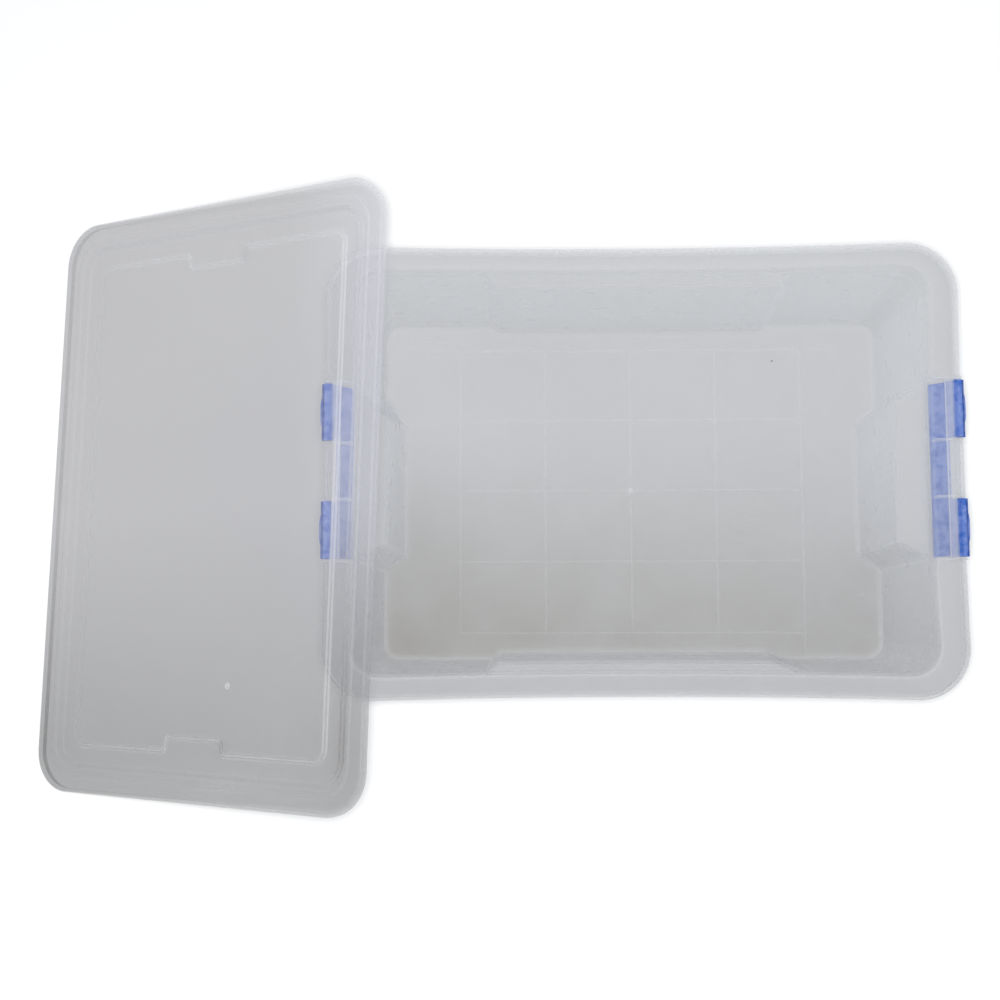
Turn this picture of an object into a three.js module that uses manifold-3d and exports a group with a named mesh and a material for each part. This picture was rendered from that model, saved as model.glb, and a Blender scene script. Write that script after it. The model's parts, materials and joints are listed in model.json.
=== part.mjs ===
// A fishing tackle box: a clear polypropylene tub, its separate lid and a blue latch at each end.
// The lid is off the tub: one long edge is on the floor and it leans on the tub's left end rim.
// Millimetres, +Z up. The origin is the middle of the tub's base, X along the tub's long side.

import * as THREE from 'three';
import { mergeVertices } from 'three/addons/utils/BufferGeometryUtils.js';
import Module from 'manifold-3d';

const wasm = await Module();
wasm.setup();
const { Manifold, Mesh } = wasm;

// Tub
const RIM_HALF_X = 200.4;
const RIM_HALF_Y = 144;
const RIM_RADIUS = 32;
const HEIGHT = 120;
const WALL = 2;
const FLOOR_THICK = 3;
const FLOOR_HALF_X = 173;
const FLOOR_HALF_Y = 118;
const FLOOR_RADIUS = 11;
const MOUTH_HALF_X = 181;
const MOUTH_HALF_Y = 128;
const MOUTH_RADIUS = 17;
const LIP_BOTTOM = 110;
const FILLET = 3;
const UNDER_FILLET = 1.5; // where the outer wall meets the underside of the rim
const BOW_END = 1.8; // how far the soft rim's short sides curve inward
const BOW_LONG = 2.4;

// Recesses in the walls: [half width of the flat, half width at the foot of its slanted side]
const END_RECESS = { flat: 46, foot: 56, depth: 14, depthTop: 17, top: 101, ledge: 109.5 };
const LONG_RECESS = { flat: 92, foot: 98, depth: 4.5, depthTop: 5.5, top: 106, ledge: 110 };
const OUTER_DROP = 1.5; // on the outer skin a recess's ledge is this much lower
const OUTER_NARROW = 1.2; // and its slanted sides are this much nearer its middle
const SPRUNG_FROM = 40; // height above which the long soft walls curve inward

// Ribs on the inside of the floor
const RIB = { width: 1.1, height: 0.5, xs: [-120, -60, 0, 60, 120], ys: [-100, -50, 0, 50, 100] };

// Latch hinges. The pivot runs along Y at each end of the tub.
const PIVOT_X = 199.3;
const PIVOT_Z = 116.2;
const PIN_RADIUS = 1.3;
const PIN_CLEARANCE = 0.35;
const NOTCH_IN = 195.6;
const NOTCH_NEAR = 19;
const NOTCH_FAR = 56;
const SEAT_IN = 192; // beyond this, between the two notches' far sides, the rim has no lip of its own
const TAB_OUT = 200.6; // the part of the rim between the two notches
const TAB_LIP_BOTTOM = 111.5;
const GUSSET = { thick: 1.4, in: 182, out: 195.4, foot: 187.3, bottom: 109.6, gap: 0.4 };
const LUG = { thick: 1.9, in: 196.5, bottom: 113.6 };
const SKIM = 0.1; // keeps the faces of joined solids from lying in one plane

// Latch, drawn as it stands when it is locked: straight up beside the pivot
const KNUCKLE_RADIUS = 3;
const KNUCKLE_GAP = 0.4;
const PLATE_IN = 1.8;
const PLATE_OUT = 3.4;
const PLATE_START = 6.6;
const PLATE_END = 20;
const PLATE_HALF = 55;
const NIB_BOTTOM = 10.5;
const NIB_REACH = 3.6;
const BULGE = 0.9;
const BULGE_HALF = 8.5;
const LATCH_SWING = 222; // degrees between locked and folded away under the rim

// Lid: heights of its top face, and how far in from its edge each step of that face is
const LID_HALF_LONG = 199.5;
const LID_HALF_WIDE = 141;
const LID_RADIUS = 28;
const LID_LEAST_RADIUS = 6;
const LEVEL = { ledge: 6, band: 6.8, valley: 1, panel: 3 };
const STEP = { skirt: 2.2, ledge: 9.6, band: 10.6, drop: 17, valley: 20, rise: 30, panel: 33 };
const LID_LEAN = 30.5; // degrees above the floor
const LID_TURN = -1.74; // degrees about Z
const LID_FOOT = [-406.4, -7.7, 0.2];
const JOG = { flat: 23.5, foot: 25.5, depth: 9 };

const ARC_STEPS = 8;
const CLEAR_PP = { color: 0xc6cad2, roughness: 0.35, metalness: 0 };
const BLUE_PP = { color: 0x5f78c8, roughness: 0.4, metalness: 0 };

const ramp = (t, flat, foot) => THREE.MathUtils.clamp((foot - Math.abs(t)) / (foot - flat), 0, 1);

// One closed loop round the box at height z: a rounded rectangle whose sides may be pushed in.
function ring({ z, hx, hy, r, end, side, endDepth = 0, sideDepth = 0, bowX = 0, bowY = 0, widen = 0 }) {
  const straightY = hy - r;
  const straightX = hx - r;
  const quarter = [];
  const onEnd = [0, 0.4 * end.flat, 0.8 * end.flat, end.flat + widen, end.foot + widen];
  onEnd.push((end.foot + widen + straightY) / 2);
  for (const y of onEnd) {
    const push = endDepth * ramp(y, end.flat + widen, end.foot + widen);
    quarter.push([hx - push - bowX * (1 - Math.abs(y / straightY) ** 3), y]);
  }
  for (let i = 0; i <= ARC_STEPS; i += 1) {
    const a = (i / ARC_STEPS) * (Math.PI / 2);
    quarter.push([straightX + r * Math.cos(a), straightY + r * Math.sin(a)]);
  }
  const onSide = [(side.foot + widen + straightX) / 2, side.foot + widen, side.flat + widen];
  onSide.push(0.65 * side.flat, 0.3 * side.flat, 0);
  for (const x of onSide) {
    const push = sideDepth * ramp(x, side.flat + widen, side.foot + widen);
    quarter.push([x, hy - push - bowY * (1 - (x / straightX) ** 2)]);
  }
  const back = quarter.slice(0, -1).reverse().map(([x, y]) => [-x, y]);
  const upper = [...quarter, ...back];
  const lower = upper.slice(1, -1).reverse().map(([x, y]) => [x, -y]);
  return [...upper, ...lower].map(([x, y]) => [x, y, z]);
}

// A closed skin through loops of the same length, with a flat cap on the first and the last.
function loft(rings) {
  const n = rings[0].length;
  const positions = rings.flat(2);
  const index = [];
  for (let k = 0; k < rings.length - 1; k += 1) {
    for (let i = 0; i < n; i += 1) {
      const j = (i + 1) % n;
      const a = k * n + i;
      const b = k * n + j;
      index.push(a, b, a + n, b, b + n, a + n);
    }
  }
  const cap = (k, flip) => {
    const centre = positions.length / 3;
    positions.push(0, 0, rings[k][0][2]);
    for (let i = 0; i < n; i += 1) {
      const a = k * n + i;
      const b = k * n + ((i + 1) % n);
      index.push(centre, flip ? b : a, flip ? a : b);
    }
  };
  cap(0, true);
  cap(rings.length - 1, false);
  const geometry = new THREE.BufferGeometry();
  geometry.setAttribute('position', new THREE.Float32BufferAttribute(positions, 3));
  geometry.setIndex(index);
  return geometry;
}

function solid(source) {
  let geometry = source.clone();
  geometry.deleteAttribute('normal');
  geometry.deleteAttribute('uv');
  geometry = mergeVertices(geometry, 1e-4);
  const vertProperties = Float32Array.from(geometry.attributes.position.array);
  const triVerts = Uint32Array.from(geometry.index.array);
  return new Manifold(new Mesh({ numProp: 3, vertProperties, triVerts }));
}

function toGeometry(manifold) {
  const mesh = manifold.getMesh();
  const geometry = new THREE.BufferGeometry();
  geometry.setAttribute('position', new THREE.BufferAttribute(Float32Array.from(mesh.vertProperties), 3));
  geometry.setIndex(new THREE.BufferAttribute(Uint32Array.from(mesh.triVerts), 1));
  geometry.computeVertexNormals();
  return geometry;
}

const box = (x0, x1, y0, y1, z0, z1) => solid(
  new THREE.BoxGeometry(x1 - x0, y1 - y0, z1 - z0)
    .translate((x0 + x1) / 2, (y0 + y1) / 2, (z0 + z1) / 2),
);

// A flat outline in X and Z, drawn out along Y from y0 to y1.
function prism(outline, y0, y1) {
  const shape = outline instanceof THREE.Shape
    ? outline
    : new THREE.Shape(outline.map(([x, z]) => new THREE.Vector2(x, z)));
  const geometry = new THREE.ExtrudeGeometry(shape, {
    depth: y1 - y0,
    bevelEnabled: false,
    curveSegments: 10,
  });
  return solid(geometry.rotateX(Math.PI / 2).translate(0, y1, 0));
}

const rod = (x, z, radius, y0, y1) => solid(
  new THREE.CylinderGeometry(radius, radius, y1 - y0, 20).translate(x, (y0 + y1) / 2, z),
);

const both = (make) => [1, -1].flatMap((side) => make(side));
const span = (side, a, b) => (side > 0 ? [a, b] : [-b, -a]);

// The tub's skin, from the middle of the base up the outside, over the rim and down the inside.
function tubShell() {
  const wallX = (z) => THREE.MathUtils.mapLinear(z, FLOOR_THICK, HEIGHT, FLOOR_HALF_X, MOUTH_HALF_X);
  const wallY = (z) => THREE.MathUtils.mapLinear(z, FLOOR_THICK, HEIGHT, FLOOR_HALF_Y, MOUTH_HALF_Y);
  const wallR = (z) => THREE.MathUtils.mapLinear(z, FLOOR_THICK, HEIGHT, FLOOR_RADIUS, MOUTH_RADIUS);
  const bend = (z) => THREE.MathUtils.clamp((z - SPRUNG_FROM) / (HEIGHT - SPRUNG_FROM), 0, 1);
  const recess = (r, z) => {
    if (z > r.top) {
      return r.depthTop * THREE.MathUtils.clamp((r.ledge - z) / (r.ledge - r.top), 0, 1);
    }
    return THREE.MathUtils.mapLinear(z, 0, r.top, r.depth, r.depthTop);
  };
  const wall = (z, outward, inset = 0) => ring({
    z,
    hx: wallX(z) + outward - inset,
    hy: wallY(z) + outward - inset,
    r: Math.max(wallR(z) + outward - inset, 2),
    end: END_RECESS,
    side: LONG_RECESS,
    endDepth: recess(END_RECESS, z + (outward > 0 ? OUTER_DROP : 0)),
    sideDepth: recess(LONG_RECESS, z + (outward > 0 ? OUTER_DROP : 0)),
    bowX: BOW_END * bend(z),
    bowY: BOW_LONG * bend(z),
    widen: outward > 0 ? -OUTER_NARROW : 0,
  });
  const rim = (z, inset) => ring({
    z,
    hx: RIM_HALF_X - inset,
    hy: RIM_HALF_Y - inset,
    r: RIM_RADIUS - inset,
    end: END_RECESS,
    side: LONG_RECESS,
    bowX: BOW_END,
    bowY: BOW_LONG,
  });
  const under = HEIGHT - WALL;
  return loft([
    wall(0, WALL, FILLET),
    wall(0.9, WALL, 0.9),
    wall(FILLET, WALL),
    wall(SPRUNG_FROM, WALL),
    wall(END_RECESS.top - OUTER_DROP, WALL),
    wall(LONG_RECESS.top - OUTER_DROP, WALL),
    wall(END_RECESS.ledge - OUTER_DROP, WALL),
    wall(LONG_RECESS.ledge - OUTER_DROP, WALL),
    wall(under - UNDER_FILLET, WALL),
    wall(under, WALL, -UNDER_FILLET),
    rim(under, WALL + 2),
    rim(under - 1, WALL),
    rim(LIP_BOTTOM, WALL),
    rim(LIP_BOTTOM, 0),
    rim(HEIGHT - 2, 0),
    rim(HEIGHT - 0.6, 0.6),
    rim(HEIGHT, 2),
    wall(HEIGHT, 0, -FILLET),
    wall(HEIGHT - 0.9, 0, -0.9),
    wall(HEIGHT - FILLET, 0),
    wall(LONG_RECESS.ledge, 0),
    wall(END_RECESS.ledge, 0),
    wall(LONG_RECESS.top, 0),
    wall(END_RECESS.top, 0),
    wall(SPRUNG_FROM, 0),
    wall(FLOOR_THICK + FILLET, 0),
    wall(FLOOR_THICK + 0.9, 0, 0.9),
    wall(FLOOR_THICK, 0, FILLET),
  ]);
}

function floorRibs() {
  const low = FLOOR_THICK - 1;
  const high = FLOOR_THICK + RIB.height;
  const half = RIB.width / 2;
  const reachX = Math.max(...RIB.xs);
  const reachY = Math.max(...RIB.ys) + half + SKIM;
  return [
    ...RIB.xs.map((x) => box(x - half, x + half, -reachY, reachY, low, high)),
    ...RIB.ys.map((y) => box(-reachX, reachX, y - half, y + half, low, high - SKIM)),
  ];
}

// The cuts in one end of the rim, for X above zero.
function rimCuts() {
  const under = HEIGHT - WALL;
  const out = RIM_HALF_X + 5;
  return [
    box(SEAT_IN, out, -NOTCH_FAR, NOTCH_FAR, LIP_BOTTOM - 5, under + SKIM),
    ...both((side) => box(NOTCH_IN, out, ...span(side, NOTCH_NEAR, NOTCH_FAR), LIP_BOTTOM - 5, HEIGHT + 1)),
  ];
}

// What holds a latch at one end of the tub: the tab, the gussets, the lugs and the two hinge pins.
function latchSeat() {
  const under = HEIGHT - WALL;
  const { thick, gap } = GUSSET;
  const gusset = [[GUSSET.in, under + 0.5], [GUSSET.out, under + 0.5],
    [GUSSET.foot, GUSSET.bottom], [GUSSET.in, GUSSET.bottom]];
  const lip = NOTCH_NEAR - SKIM;
  return [
    box(SEAT_IN - 2, TAB_OUT, -NOTCH_NEAR, NOTCH_NEAR, under + 2 * SKIM, HEIGHT - SKIM),
    box(TAB_OUT - WALL, TAB_OUT - SKIM, -lip, lip, TAB_LIP_BOTTOM, under + 1),
    ...both((side) => [
      prism(gusset, ...span(side, NOTCH_NEAR - gap - thick, NOTCH_NEAR - gap)),
      prism(gusset, ...span(side, NOTCH_FAR + gap, NOTCH_FAR + gap + thick)),
      box(LUG.in, TAB_OUT, ...span(side, NOTCH_FAR + SKIM, NOTCH_FAR + SKIM + LUG.thick),
        LUG.bottom, HEIGHT - 0.5),
      rod(PIVOT_X, PIVOT_Z, PIN_RADIUS, ...span(side, NOTCH_NEAR - 1, NOTCH_FAR + 1)),
    ]),
  ];
}

function makeTub() {
  const cuts = Manifold.union(rimCuts());
  const seat = Manifold.union(latchSeat());
  const turned = (m) => m.rotate([0, 0, 180]);
  const shell = solid(tubShell()).subtract(cuts).subtract(turned(cuts));
  return toGeometry(Manifold.union([shell, seat, turned(seat), ...floorRibs()]));
}

// The lid: skirt, ledge, raised band, the valley that drops into the tub's mouth, and the panel.
function makeLid() {
  const edge = (s, z, jog = 0) => ring({
    z,
    hx: LID_HALF_WIDE - s,
    hy: LID_HALF_LONG - s,
    r: Math.max(LID_RADIUS - 0.6 * s, LID_LEAST_RADIUS),
    end: { flat: 60, foot: 80 },
    side: JOG,
    sideDepth: jog,
  });
  const { ledge, band, valley, panel } = LEVEL;
  return loft([
    edge(STEP.panel + 1, panel - WALL, JOG.depth),
    edge(STEP.panel - 0.2, valley - WALL, JOG.depth),
    edge(STEP.drop + 1, valley - WALL),
    edge(STEP.drop - 0.4, band - WALL),
    edge(STEP.band + 1.4, band - WALL),
    edge(STEP.ledge + 1.4, ledge - WALL),
    edge(STEP.skirt + 0.2, ledge - WALL),
    edge(STEP.skirt, 0),
    edge(0.3, 0),
    edge(0, ledge - 1.4),
    edge(0.6, ledge - 0.4),
    edge(1.8, ledge),
    edge(STEP.ledge, ledge),
    edge(STEP.band, band),
    edge(STEP.drop, band),
    edge(STEP.drop + 1, band - 0.8),
    edge(STEP.valley - 0.8, valley + 0.8),
    edge(STEP.valley, valley),
    edge(STEP.rise, valley, JOG.depth),
    edge(STEP.rise + 1, valley + 0.4, JOG.depth),
    edge(STEP.panel - 1, panel - 0.4, JOG.depth),
    edge(STEP.panel, panel, JOG.depth),
  ]);
}

// One latch, standing locked, with its pivot at the origin and the box on its -X side.
function makeLatch() {
  const near = NOTCH_NEAR + KNUCKLE_GAP;
  const far = NOTCH_FAR - KNUCKLE_GAP;
  const middle = (near + far) / 2;
  const plate = [[PLATE_IN, PLATE_START], [PLATE_OUT, PLATE_START], [PLATE_OUT, PLATE_END - 0.5],
    [PLATE_OUT - 0.5, PLATE_END], [PLATE_IN + 0.5, PLATE_END], [PLATE_IN, PLATE_END - 0.5]];
  const nib = [[PLATE_IN + 0.5, NIB_BOTTOM], [PLATE_IN - NIB_REACH, NIB_BOTTOM],
    [PLATE_IN - NIB_REACH, NIB_BOTTOM + 0.9], [PLATE_IN + 0.5, NIB_BOTTOM + 3]];
  const arm = [[0, 0], [PLATE_OUT, 0], [PLATE_OUT, PLATE_START + 1], [PLATE_IN, PLATE_START + 1],
    [PLATE_IN, 4.6], [0, 2.6]];
  const bulge = new THREE.Shape();
  bulge.absarc(0, 0, KNUCKLE_RADIUS + BULGE, THREE.MathUtils.degToRad(95), THREE.MathUtils.degToRad(215));
  bulge.lineTo(0, 0);
  const knuckle = (side) => [
    rod(0, 0, KNUCKLE_RADIUS, ...span(side, near, far)),
    prism(arm, ...span(side, near, far)),
    prism(bulge, ...span(side, middle - BULGE_HALF, middle + BULGE_HALF)),
  ];
  const slot = [[-0.95, 0], [0.95, 0], [0.95, -6], [-0.95, -6]];
  const bores = both((side) => [
    rod(0, 0, PIN_RADIUS + PIN_CLEARANCE, ...span(side, near - 1, far + 1)),
    prism(slot, ...span(side, near - 1, far + 1)),
  ]);
  return toGeometry(Manifold.union([
    prism(plate, -PLATE_HALF, PLATE_HALF),
    prism(nib, -PLATE_HALF + 8, PLATE_HALF - 8),
    ...both(knuckle),
  ]).subtract(Manifold.union(bores)));
}

function named(name, geometry, finish) {
  const mesh = new THREE.Mesh(geometry, new THREE.MeshStandardMaterial(finish));
  mesh.name = name;
  return mesh;
}

function latchAt(name, turn) {
  const end = new THREE.Group();
  end.rotation.z = turn;
  const mesh = named(name, makeLatch(), BLUE_PP);
  mesh.position.set(PIVOT_X, 0, PIVOT_Z);
  mesh.rotation.y = THREE.MathUtils.degToRad(LATCH_SWING);
  end.add(mesh);
  return end;
}

function leaningLid() {
  const foot = new THREE.Group();
  foot.position.set(...LID_FOOT);
  foot.rotation.z = THREE.MathUtils.degToRad(LID_TURN);
  const slope = new THREE.Group();
  slope.rotation.y = -THREE.MathUtils.degToRad(LID_LEAN);
  const lid = named('lid', makeLid(), CLEAR_PP);
  lid.position.x = LID_HALF_WIDE;
  slope.add(lid);
  foot.add(slope);
  return foot;
}

const tackleBox = new THREE.Group();
tackleBox.add(named('tub', makeTub(), CLEAR_PP));
tackleBox.add(latchAt('latch_right', 0));
tackleBox.add(latchAt('latch_left', Math.PI));
tackleBox.add(leaningLid());

export default tackleBox;
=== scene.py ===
"""Looks of a latched tackle box: a clear polypropylene tub, its lid leaning on it and two blue latches.

Everything is drawn in millimetres in the frame of the CAD part and scaled to metres as it becomes a mesh.
The lid and the latches are drawn in a frame of their own and then turned to where the CAD part holds them.
"""

import json
import math

import bmesh
import bpy
import numpy as np
from mathutils import Matrix, Vector


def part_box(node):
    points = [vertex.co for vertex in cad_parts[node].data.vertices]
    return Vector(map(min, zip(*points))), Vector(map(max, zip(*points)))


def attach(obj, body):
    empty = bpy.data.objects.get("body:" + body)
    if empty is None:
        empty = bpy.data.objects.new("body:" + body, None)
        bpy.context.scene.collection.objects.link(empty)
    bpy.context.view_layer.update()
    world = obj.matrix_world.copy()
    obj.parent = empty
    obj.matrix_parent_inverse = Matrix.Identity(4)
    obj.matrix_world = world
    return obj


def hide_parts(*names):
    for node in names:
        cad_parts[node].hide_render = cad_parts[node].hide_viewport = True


MM = 0.001

# Tub walls: half sizes at the floor and at the mouth, corner radii, thickness
FLOOR_HALF = (173.0, 118.0)
MOUTH_HALF = (181.0, 128.0)
FLOOR_RADIUS = 11.0
MOUTH_RADIUS = 17.0
WALL = 2.0
FLOOR_THICK = 3.0
FILLET = 3.0
SPRUNG_FROM = 40.0  # height above which the long soft sides curve inward
BOW_END = 1.8
BOW_LONG = 2.4
RIM_BOW_END = 0.7

# Rim: a flange with a lip turned down at its edge
RIM_RADIUS = 32.0
LIP_BOTTOM = 110.0
LIP_THICK = 2.0
RIM_ROUND = 2.4
UNDER_ROUND = 1.5
# Share of the painted highlight along bends that the rim's rings get
RIM_BEND_HIGHLIGHT = 0.35

# Recesses in the walls: half width of the flat and of the foot of its slanted side, depths and ledge
END_RECESS = {"flat": 46.0, "foot": 56.0, "depth": 14.0, "depth_top": 17.0, "top": 101.0, "ledge": 109.5}
LONG_RECESS = {"flat": 92.0, "foot": 98.0, "depth": 4.5, "depth_top": 5.5, "top": 106.0, "ledge": 110.0}
NO_RECESS = {"flat": 1.0, "foot": 2.0}
SKIN_RISE = 1.5  # the outer skin's ledge sits this much lower, and its recess is this much narrower
SKIN_NARROW = -1.2

# Latch seats at the ends of the rim
NOTCH_NEAR = 19.0
NOTCH_FAR = 56.0
NOTCH_IN = 195.6
TAB_OUT = 200.6
TAB_PROUD = 0.2  # how far the tab stands out past the rim's ends
TAB_LIP_BOTTOM = 111.5
SEAT_EASE = 0.3
SEAT_GAP = 0.4  # play beside a latch's knuckles
NOTCH_SLANT = 0.45  # how much of the rim's inset a notch follows
GUSSET_IN = 183.0
GUSSET_OUT = 195.2
GUSSET_FOOT = 187.3
GUSSET_BOTTOM = 109.6
GUSSET_THICK = 1.4
GUSSET_BITE = 0.3  # how far a gusset goes up into the flange
LUG_IN = 196.5
LUG_OUT = TAB_OUT - 0.1
LUG_BOTTOM = 113.6
LUG_DROP = 0.6  # how far a lug's top is below the rim's
PIN_RADIUS = 1.3
SCATTER_STRIP_IN = 191.0  # a pale strip under the flange beside each latch, standing in for light scattered there, with a painted highlight line along it
SCATTER_STRIP_OUT = 195.0
SCATTER_STRIP_THICK = 0.9
HIGHLIGHT_LINE_WIDTH = 0.9
HIGHLIGHT_LINE_THICK = 1.2
SCATTER_STRIP_CLEAR = 0.1

# Ribs on the floor
RIB_WIDTH = 1.3
RIB_HEIGHT = 0.45
RIB_CLEAR = 0.02
GATE_HALF = 1.7
RIB_XS = (-120.0, -60.0, 0.0, 60.0, 120.0)
RIB_YS = (-100.0, -50.0, 0.0, 50.0, 100.0)

# Latch, drawn standing beside its pivot with the box on the -X side
KNUCKLE_RADIUS = 3.0
KNUCKLE_GAP = 0.4
PLATE_IN = 1.8
PLATE_OUT = 3.4
PLATE_START = 6.6
PLATE_END = 20.0
PLATE_HALF = 55.0
NIB_BOTTOM = 10.5
NIB_REACH = 3.6
NIB_THICK = 0.9
NIB_ROOT = 3.0
NIB_INSET = 8.0
ARM_SHOULDER = 4.6
ARM_ROOT = 2.6
SLOT_HALF = 0.95
SLOT_DEPTH = 6.0
BULGE = 0.85
BULGE_HALF = 8.5
BORE_RADIUS = 1.65
BEAD_RADIUS = 0.45
LATCH_SWING = 222.0

# Lid, drawn flat with its long side along Y
LID_HALF = (141.0, 199.5)
LID_RADIUS = 28.0
LID_LEAST_RADIUS = 6.0
LID_LEAN = 30.5
LID_TURN = -1.74
JOG = {"flat": 23.5, "foot": 25.5}
JOG_DEPTH = 9.0
PANEL_FROM = 29.0
# Share of the painted highlight along bends that the lid's outer steps get; the panel's outline gets all of
# it
STEP_BEND_HIGHLIGHT = 0.3
PANEL_TOP = 3.0
PANEL_UNDER = 1.0
VALLEY_TOP = 1.0
VALLEY_UNDER = -1.0
RIDGE_TOP = 6.8
RIDGE_UNDER = 4.8
EDGE_TOP = 6.0
EDGE_UNDER = 4.0
GATE_MARK_AT = (29.0, -123.0)
GATE_MARK_STEPS = 24

CORNER_STEPS = 24
FILLET_STEPS = 7
SHARP_ANGLE = math.radians(38)

# Plastic: tones, and what its marks and stains hide
MARK_COVER = 0.05
# Pale tone for the painted highlight along bends, for the evenly paled trim pieces and for scratch marks
PALE_HIGHLIGHT_AND_SCRATCH_TONE = (0.97, 0.98, 1.0)
STAIN_TONE = (0.33, 0.30, 0.22)
STAIN_COVER = 0.12
SPECK_AT = (0.101, 0.092, 0.003)
SPECK_TONE = (0.12, 0.11, 0.10)
SPECK_COVER = 0.6
SHADE = 0.53  # how much of a lamp's light one surface lets on
BLUE_DARK = (0.040, 0.150, 0.60)
BLUE_LIGHT = (0.050, 0.162, 0.63)
# Pale blue at convex edges: partly rubbed wear, partly a painted highlight
BLUE_WEAR_AND_HIGHLIGHT = (0.36, 0.46, 0.86)
BLUE_SCUFFED = (0.45, 0.53, 0.85)

# Studio, in metres
SKY = 0.42
SKY_SEEN = 0.95
SKY_TINT = (0.96, 0.98, 1, 1)
FLOOR_SIZE = 12
FLOOR_DROP = 0.0004
FLOOR_LAMP = 30.0
FLOOR_LAMP_RADIUS = 0.045
FLOOR_LAMP_LIFT = Vector((0, 0, 0.02))
OVERHEAD = 26.0
OVERHEAD_AT = (-0.3, 0.5, 2.2)
OVERHEAD_AIM = (-0.1, 0, 0)
OVERHEAD_SIZE = 2.2
SIDE = 5.0
SIDE_AT = (1.8, -0.9, 1.4)
SIDE_AIM = (0, 0, 0)
SIDE_SIZE = 1.2
CAMERA_AT = Vector((-0.0669, -0.1211, 1.03804))
CAMERA_TURN = (0.1103, 0.0246, -0.0020)
CAMERA_LENS = 53.15
CAMERA_SENSOR = 36


# ---------------------------------------------------------------- curves and skins


def ease(t, blunt=0.13):
    """A ramp from 0 to 1 whose two corners are rounded over the share blunt."""
    t = np.asarray(t, float)
    foot = (t + blunt) ** 2 / (4 * blunt)
    crest = 1 - (1 + blunt - t) ** 2 / (4 * blunt)
    return np.select([t <= -blunt, t < blunt, t <= 1 - blunt, t < 1 + blunt], [0.0, foot, t, crest], 1.0)


def lerp(a, b, t):
    return a + (b - a) * t


def push(along, recess):
    """How far into a recess each place along a side is, from 0 outside it to 1 on its flat."""
    return ease((recess["foot"] - np.abs(along)) / (recess["foot"] - recess["flat"]))


def stations(dense, straight, count):
    """The places in dense, then count more at even steps up to straight."""
    return np.concatenate([dense, np.linspace(dense[-1], straight, count + 1)[1:]])


def loop(half, radius, ends, sides, end_depth=0.0, side_depth=0.0, bow=(0.0, 0.0)):
    """One closed outline, counterclockwise from +X: a rounded rectangle whose sides may be pushed in.

    ends and sides are (recess, dense places, number of even steps) for the short and the long sides.
    """
    straight = (half[0] - radius, half[1] - radius)
    ys = stations(ends[1], straight[1], ends[2])
    xs = stations(sides[1], straight[0], sides[2])[::-1]
    on_end = half[0] - end_depth * push(ys, ends[0]) - bow[0] * (1 - np.abs(ys / straight[1]) ** 3)
    on_side = half[1] - side_depth * push(xs, sides[0]) - bow[1] * (1 - (xs / straight[0]) ** 2)
    turn = np.linspace(0, math.pi / 2, CORNER_STEPS + 1)[1:-1]
    corner = np.stack([straight[0] + radius * np.cos(turn), straight[1] + radius * np.sin(turn)], 1)
    quarter = np.concatenate([np.stack([on_end, ys], 1), corner, np.stack([xs, on_side], 1)])
    upper = np.concatenate([quarter, quarter[-2::-1] * (-1, 1)])
    return np.concatenate([upper, upper[-2:0:-1] * (1, -1)])


def at_height(outline, z):
    return np.column_stack([outline, np.full(len(outline), z)])


def quarter_turn(start, end, upright_first):
    """Steps of a quarter ellipse between two (inset, z) points, leaving start upright or level."""
    turn = np.linspace(0, math.pi / 2, FILLET_STEPS + 1)
    slow, fast = 1 - np.cos(turn), np.sin(turn)
    inset, z = (slow, fast) if upright_first else (fast, slow)
    return [(lerp(start[0], end[0], i), lerp(start[1], end[1], k)) for i, k in zip(inset, z)]


def closed_in(ring, count):
    """The ring again and again, each smaller, towards the middle of what it surrounds."""
    middle = ring.mean(0)
    return [middle + (ring - middle) * (1 - t) for t in np.linspace(0, 1, count + 2)[1:-1]]


def bend_of(grid):
    """How sharply a skin bends at each vertex, in 1/mm, from its neighbours round the loop and along it."""
    ahead, behind = np.roll(grid, -1, 1), np.roll(grid, 1, 1)
    up = np.concatenate([grid[1:], grid[-1:]])
    down = np.concatenate([grid[:1], grid[:-1]])
    normal = np.cross(ahead - behind, up - down)
    normal /= np.maximum(np.linalg.norm(normal, axis=2, keepdims=True), 1e-9)

    def rate(a, b, pa, pb):
        return np.linalg.norm(a - b, axis=2) / np.maximum(np.linalg.norm(pa - pb, axis=2), 0.3)

    round_loop = rate(np.roll(normal, -1, 1), np.roll(normal, 1, 1), ahead, behind)
    n_up = np.concatenate([normal[1:], normal[-1:]])
    n_down = np.concatenate([normal[:1], normal[:-1]])
    return np.maximum(round_loop, rate(n_up, n_down, up, down))


def make_object(name, vertices, faces, paleness_and_highlight=None):
    """A smooth-shaded mesh from millimetres, with an attribute of paleness that its material reads; along a
    skin's bends it is a painted highlight.
    """
    mesh = bpy.data.meshes.new(name)
    mesh.from_pydata((np.asarray(vertices) * MM).tolist(), [], faces)
    if paleness_and_highlight is not None:
        layer = mesh.attributes.new("paleness_and_highlight", "FLOAT", "POINT")
        layer.data.foreach_set("value", np.asarray(paleness_and_highlight, np.float32))
    mesh.update()
    mesh.shade_smooth()
    mesh.set_sharp_from_angle(angle=SHARP_ANGLE)
    made = bpy.data.objects.new(name, mesh)
    bpy.context.scene.collection.objects.link(made)
    return made


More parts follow.
